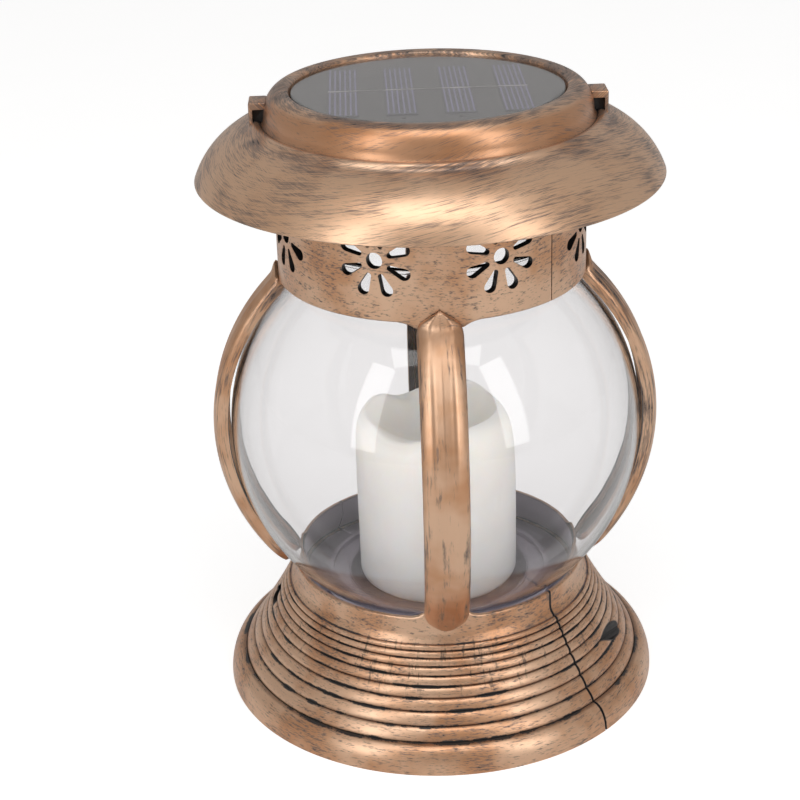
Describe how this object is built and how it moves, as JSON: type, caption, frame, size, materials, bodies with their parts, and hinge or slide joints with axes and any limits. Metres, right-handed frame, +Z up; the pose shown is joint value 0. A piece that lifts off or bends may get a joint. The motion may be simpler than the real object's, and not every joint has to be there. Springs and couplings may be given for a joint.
{
  "type": "solar garden lantern",
  "caption": "Free-standing solar lantern: clear glass globe with a candle, held in a four-rib copper frame, under a twist-off lid that carries the solar panel, cell and LED.",
  "frame": {"origin": "centre of the base rim, on the ground plane", "axes": "+Z up the lantern's axis; -Y points to the front rib; +X and -X point to the two handle ears"},
  "size_m": [0.1406, 0.1406, 0.1953],
  "materials": {
    "antique_copper": "black moulding dry-brushed with satin copper paint, worn dark in the grooves",
    "steel": "zinc-plated screws and pins",
    "clear_glass": "clear blown glass, polished",
    "black_plastic": "unpainted black moulding, fine grain",
    "foam_pad": "closed-cell foam",
    "candle_wax": "translucent ivory, waxy",
    "seal_rubber": "soft black rubber",
    "panel_backing": "dark grey coated laminate",
    "solar_cell": "dark silicon with fine printed fingers",
    "tinned_strip": "tinned copper ribbon",
    "panel_resin": "clear resin flood over the cells",
    "cell_sleeve": "printed green shrink sleeve, plain",
    "nickel_plate": "nickel-plated spring steel",
    "wire_sleeve": "PVC insulation",
    "board_laminate": "green solder mask",
    "chip_epoxy": "moulded black epoxy",
    "ferrite": "ferrite drum",
    "led_epoxy": "warm white phosphor epoxy",
    "frosted_lens": "frosted clear moulding"
  },
  "bodies": {
    "frame": {"frame_half_front": "antique_copper", "frame_half_rear": "antique_copper", "frame_screws": "steel", "globe": "clear_glass", "globe_seat": "black_plastic", "globe_pad": "foam_pad", "candle": "candle_wax"},
    "seal_ring": {"lid_seal_ring": "seal_rubber"},
    "lid": {"lid_shell": "antique_copper", "panel_seal": "seal_rubber", "solar_panel_board": "panel_backing", "solar_cells": "solar_cell", "cell_tabs": "tinned_strip", "solar_panel_cover": "panel_resin", "battery_box": "black_plastic", "lid_screws": "steel", "battery": "cell_sleeve", "battery_contacts": "nickel_plate", "battery_spring": "nickel_plate", "battery_leads": "wire_sleeve", "panel_leads": "wire_sleeve", "circuit_board": "board_laminate", "boost_chip": "chip_epoxy", "inductor": "ferrite", "led": "led_epoxy", "led_lens": "frosted_lens", "switch_housing": "nickel_plate", "door_hinge_pin": "steel"},
    "switch_knob": {"switch_slider": "black_plastic"},
    "battery_hatch": {"battery_door": "black_plastic"}
  },
  "joints": [
    {"name": "lid_lift", "type": "slide", "parent": "frame", "child": "seal_ring", "axis": [0, 0, 1], "range_m": [0, 0.08]},
    {"name": "lid_turn", "type": "hinge", "parent": "seal_ring", "child": "lid", "pos_m": [0, 0, 0.1755], "axis": [0, 0, -1], "range_deg": [0, 22]},
    {"name": "power_switch", "type": "slide", "parent": "lid", "child": "switch_knob", "axis": [1, 0, 0], "range_m": [0, 0.0025]},
    {"name": "battery_door_swing", "type": "hinge", "parent": "lid", "child": "battery_hatch", "pos_m": [0, 0.0224, 0.1648], "axis": [1, 0, 0], "range_deg": [0, 85]}
  ]
}
